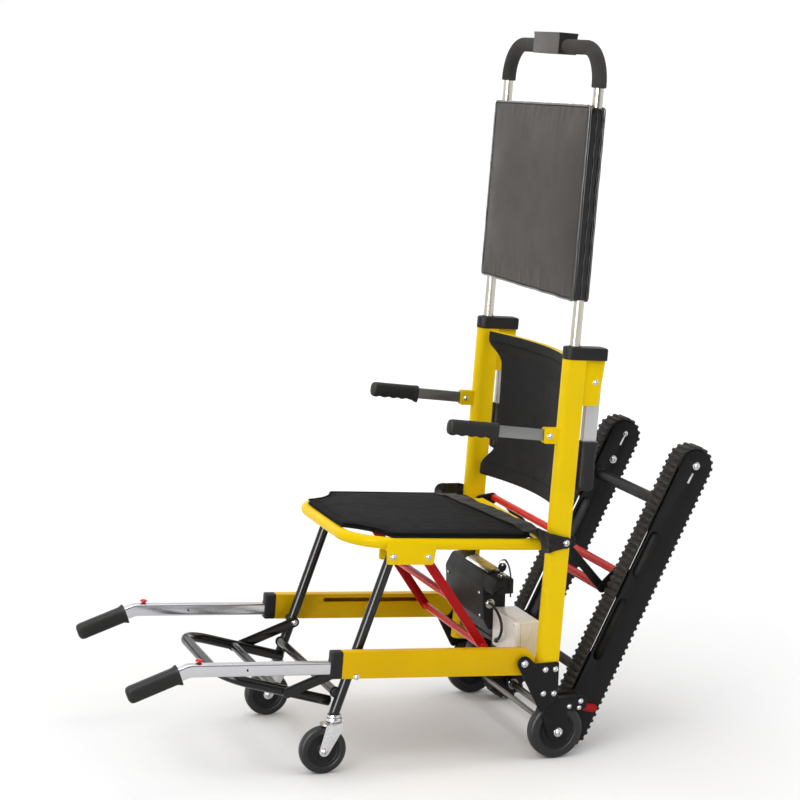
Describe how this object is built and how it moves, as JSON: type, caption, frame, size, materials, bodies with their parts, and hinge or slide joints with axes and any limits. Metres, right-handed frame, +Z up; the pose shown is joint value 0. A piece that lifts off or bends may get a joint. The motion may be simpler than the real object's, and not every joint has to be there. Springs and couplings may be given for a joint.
{
  "type": "stair climbing wheelchair",
  "caption": "Folding transport chair with padded headrest, push handle, sliding carry tubes, swivel casters and powered rubber tracks that take a seated person over stairs.",
  "frame": {"origin": "on the floor, under the middle of the chair's bounding box", "axes": "+Z up, -Y towards the front of the chair, +X towards the occupant's left"},
  "size_m": [0.5236, 1.305, 1.5225],
  "materials": {
    "yellow_frame": "satin",
    "black_frame": "satin",
    "black_steel": "satin",
    "black_plastic": "matte",
    "black_rubber": "matte",
    "black_foam": "matte",
    "black_tyre": "matte",
    "black_fabric": "matte",
    "dark_vinyl": "gloss",
    "bright_tube": "polished",
    "steel": "satin",
    "grey_bar": "satin",
    "red_frame": "satin",
    "red_plastic": "gloss",
    "white_plastic": "satin"
  },
  "bodies": {
    "back_frame": {"left_post": "yellow_frame", "right_post": "yellow_frame", "left_post_cap": "black_plastic", "right_post_cap": "black_plastic", "left_base_plate": "black_steel", "right_base_plate": "black_steel", "left_wheel_fork": "black_steel", "right_wheel_fork": "black_steel", "backrest_bar": "yellow_frame", "backrest_sling": "black_fabric", "rear_axle": "steel", "drive_frame": "black_frame", "drive_housing": "black_plastic", "drive_motor": "black_steel", "battery_box": "white_plastic", "battery_lead": "black_rubber"},
    "key": {"key_switch": "steel"},
    "push_handle": {"handle_tube": "steel", "handle_sleeve": "black_foam", "control_box": "black_plastic", "headrest_pad": "dark_vinyl"},
    "rocker": {"direction_rocker": "red_plastic"},
    "left_arm": {"left_arm_bar": "grey_bar", "left_arm_grip": "black_rubber"},
    "right_arm": {"right_arm_bar": "grey_bar", "right_arm_grip": "black_rubber"},
    "left_carry_handle": {"left_carry_bar": "grey_bar", "left_carry_grip": "black_rubber"},
    "right_carry_handle": {"right_carry_bar": "grey_bar", "right_carry_grip": "black_rubber"},
    "seat": {"seat_frame": "yellow_frame", "seat_panel": "black_fabric", "seat_belt": "black_fabric"},
    "brace": {"seat_brace": "red_frame"},
    "rails": {"left_rail": "yellow_frame", "right_rail": "yellow_frame", "left_rail_cap": "black_plastic", "right_rail_cap": "black_plastic"},
    "left_slide": {"left_carry_tube": "bright_tube", "left_carry_tube_grip": "black_rubber"},
    "right_slide": {"right_carry_tube": "bright_tube", "right_carry_tube_grip": "black_rubber"},
    "left_button": {"left_release_button": "red_plastic"},
    "right_button": {"right_release_button": "red_plastic"},
    "legs": {"front_leg_frame": "black_frame"},
    "foot_loop": {"footrest": "black_frame"},
    "left_swivel": {"left_caster_fork": "steel"},
    "right_swivel": {"right_caster_fork": "steel"},
    "left_caster": {"left_caster_wheel": "black_tyre"},
    "right_caster": {"right_caster_wheel": "black_tyre"},
    "left_wheel": {"left_rear_wheel": "black_tyre"},
    "right_wheel": {"right_rear_wheel": "black_tyre"},
    "tracks": {"track_frame": "black_frame", "left_track_belt": "black_tyre", "right_track_belt": "black_tyre"},
    "drive": {"drive_shaft": "grey_bar"},
    "left_idle": {"left_idler": "black_plastic"},
    "right_idle": {"right_idler": "black_plastic"},
    "stay": {"track_stay": "red_frame"},
    "lock_lever": {"track_lock_lever": "red_plastic"}
  },
  "joints": [
    {"name": "handle_height", "type": "slide", "parent": "back_frame", "child": "push_handle", "axis": [0, 0.0593, 0.9982], "range_m": [-0.09, 0]},
    {"name": "rocker_tip", "type": "hinge", "parent": "push_handle", "child": "rocker", "pos_m": [0, 0.35329, 1.49844], "axis": [1, 0, 0], "range_deg": [-8, 8], "stiffness_Nm_per_rad": 0.02},
    {"name": "left_arm_fold", "type": "hinge", "parent": "back_frame", "child": "left_arm", "pos_m": [0.24, 0.24477, 0.70047], "axis": [-1, 0, 0], "range_deg": [0, 80]},
    {"name": "right_arm_fold", "type": "hinge", "parent": "back_frame", "child": "right_arm", "pos_m": [-0.24, 0.24477, 0.70047], "axis": [-1, 0, 0], "range_deg": [0, 80]},
    {"name": "left_carry_swing", "type": "hinge", "parent": "back_frame", "child": "left_carry_handle", "pos_m": [0.24, 0.34299, 0.81084], "axis": [1, 0, 0], "range_deg": [0, 95]},
    {"name": "right_carry_swing", "type": "hinge", "parent": "back_frame", "child": "right_carry_handle", "pos_m": [-0.24, 0.34299, 0.81084], "axis": [1, 0, 0], "range_deg": [0, 95]},
    {"name": "seat_fold", "type": "hinge", "parent": "back_frame", "child": "seat", "pos_m": [0, 0.28531, 0.45704], "axis": [-1, 0, 0], "range_deg": [0, 60]},
    {"name": "rail_fold", "type": "hinge", "parent": "back_frame", "child": "rails", "pos_m": [0, 0.19935, 0.217], "axis": [-1, 0, 0], "range_deg": [0, 60]},
    {"name": "leg_fold", "type": "hinge", "parent": "rails", "child": "legs", "pos_m": [0, -0.17132, 0.21477], "axis": [-1, 0, 0], "range_deg": [-60, 0]},
    {"name": "brace_fold", "type": "hinge", "parent": "seat", "child": "brace", "pos_m": [0, -0.00692, 0.44987], "axis": [-1, 0, 0], "range_deg": [-20, 0]},
    {"name": "left_tube_slide", "type": "slide", "parent": "rails", "child": "left_slide", "axis": [0, 0.9982, -0.0593], "range_m": [0, 0.25]},
    {"name": "right_tube_slide", "type": "slide", "parent": "rails", "child": "right_slide", "axis": [0, 0.9982, -0.0593], "range_m": [0, 0.25]},
    {"name": "left_button_press", "type": "slide", "parent": "left_slide", "child": "left_button", "axis": [0, -0.0593, -0.9982], "range_m": [0, 0.003], "stiffness_N_per_m": 300},
    {"name": "right_button_press", "type": "slide", "parent": "right_slide", "child": "right_button", "axis": [0, -0.0593, -0.9982], "range_m": [0, 0.003], "stiffness_N_per_m": 300},
    {"name": "footrest_fold", "type": "hinge", "parent": "legs", "child": "foot_loop", "pos_m": [0, -0.17132, 0.21477], "axis": [-1, 0, 0], "range_deg": [0, 60]},
    {"name": "left_caster_swivel", "type": "hinge", "parent": "legs", "child": "left_swivel", "pos_m": [0.205, -0.20283, 0.05], "axis": [0, 0, 1], "continuous": true},
    {"name": "right_caster_swivel", "type": "hinge", "parent": "legs", "child": "right_swivel", "pos_m": [-0.205, -0.20283, 0.05], "axis": [0, 0, 1], "continuous": true},
    {"name": "left_caster_roll", "type": "hinge", "parent": "left_swivel", "child": "left_caster", "pos_m": [0.205, -0.22733, 0.05], "axis": [1, 0, 0], "continuous": true},
    {"name": "right_caster_roll", "type": "hinge", "parent": "right_swivel", "child": "right_caster", "pos_m": [-0.205, -0.22733, 0.05], "axis": [1, 0, 0], "continuous": true},
    {"name": "left_wheel_roll", "type": "hinge", "parent": "back_frame", "child": "left_wheel", "pos_m": [0.2419, 0.28135, 0.06], "axis": [1, 0, 0], "continuous": true},
    {"name": "right_wheel_roll", "type": "hinge", "parent": "back_frame", "child": "right_wheel", "pos_m": [-0.2419, 0.28135, 0.06], "axis": [1, 0, 0], "continuous": true},
    {"name": "track_fold", "type": "hinge", "parent": "back_frame", "child": "tracks", "pos_m": [0, 0.33185, 0.1205], "axis": [1, 0, 0], "range_deg": [0, 20]},
    {"name": "stay_fold", "type": "hinge", "parent": "back_frame", "child": "stay", "pos_m": [0, 0.31535, 0.468], "axis": [1, 0, 0], "range_deg": [-38, 0]},
    {"name": "drive_spin", "type": "hinge", "parent": "tracks", "child": "drive", "pos_m": [0, 0.33735, 0.049], "axis": [1, 0, 0], "continuous": true},
    {"name": "left_idler_spin", "type": "hinge", "parent": "tracks", "child": "left_idle", "pos_m": [0.18, 0.60752, 0.61037], "axis": [1, 0, 0], "continuous": true},
    {"name": "right_idler_spin", "type": "hinge", "parent": "tracks", "child": "right_idle", "pos_m": [-0.18, 0.60752, 0.61037], "axis": [1, 0, 0], "continuous": true},
    {"name": "lever_lift", "type": "hinge", "parent": "back_frame", "child": "lock_lever", "pos_m": [0, 0.33335, 0.101], "axis": [1, 0, 0], "range_deg": [0, 30]},
    {"name": "key_turn", "type": "hinge", "parent": "back_frame", "child": "key", "pos_m": [0.082, 0.21635, 0.362], "axis": [0, 0, 1], "range_deg": [0, 90]}
  ],
  "couplings": [
    {"joint": "rail_fold", "follows": "seat_fold", "ratio": 1},
    {"joint": "leg_fold", "follows": "seat_fold", "ratio": -1},
    {"joint": "brace_fold", "follows": "seat_fold", "ratio": -0.3073},
    {"joint": "stay_fold", "follows": "track_fold", "ratio": -1.8},
    {"joint": "left_idler_spin", "follows": "drive_spin", "ratio": 1},
    {"joint": "right_idler_spin", "follows": "drive_spin", "ratio": 1}
  ]
}
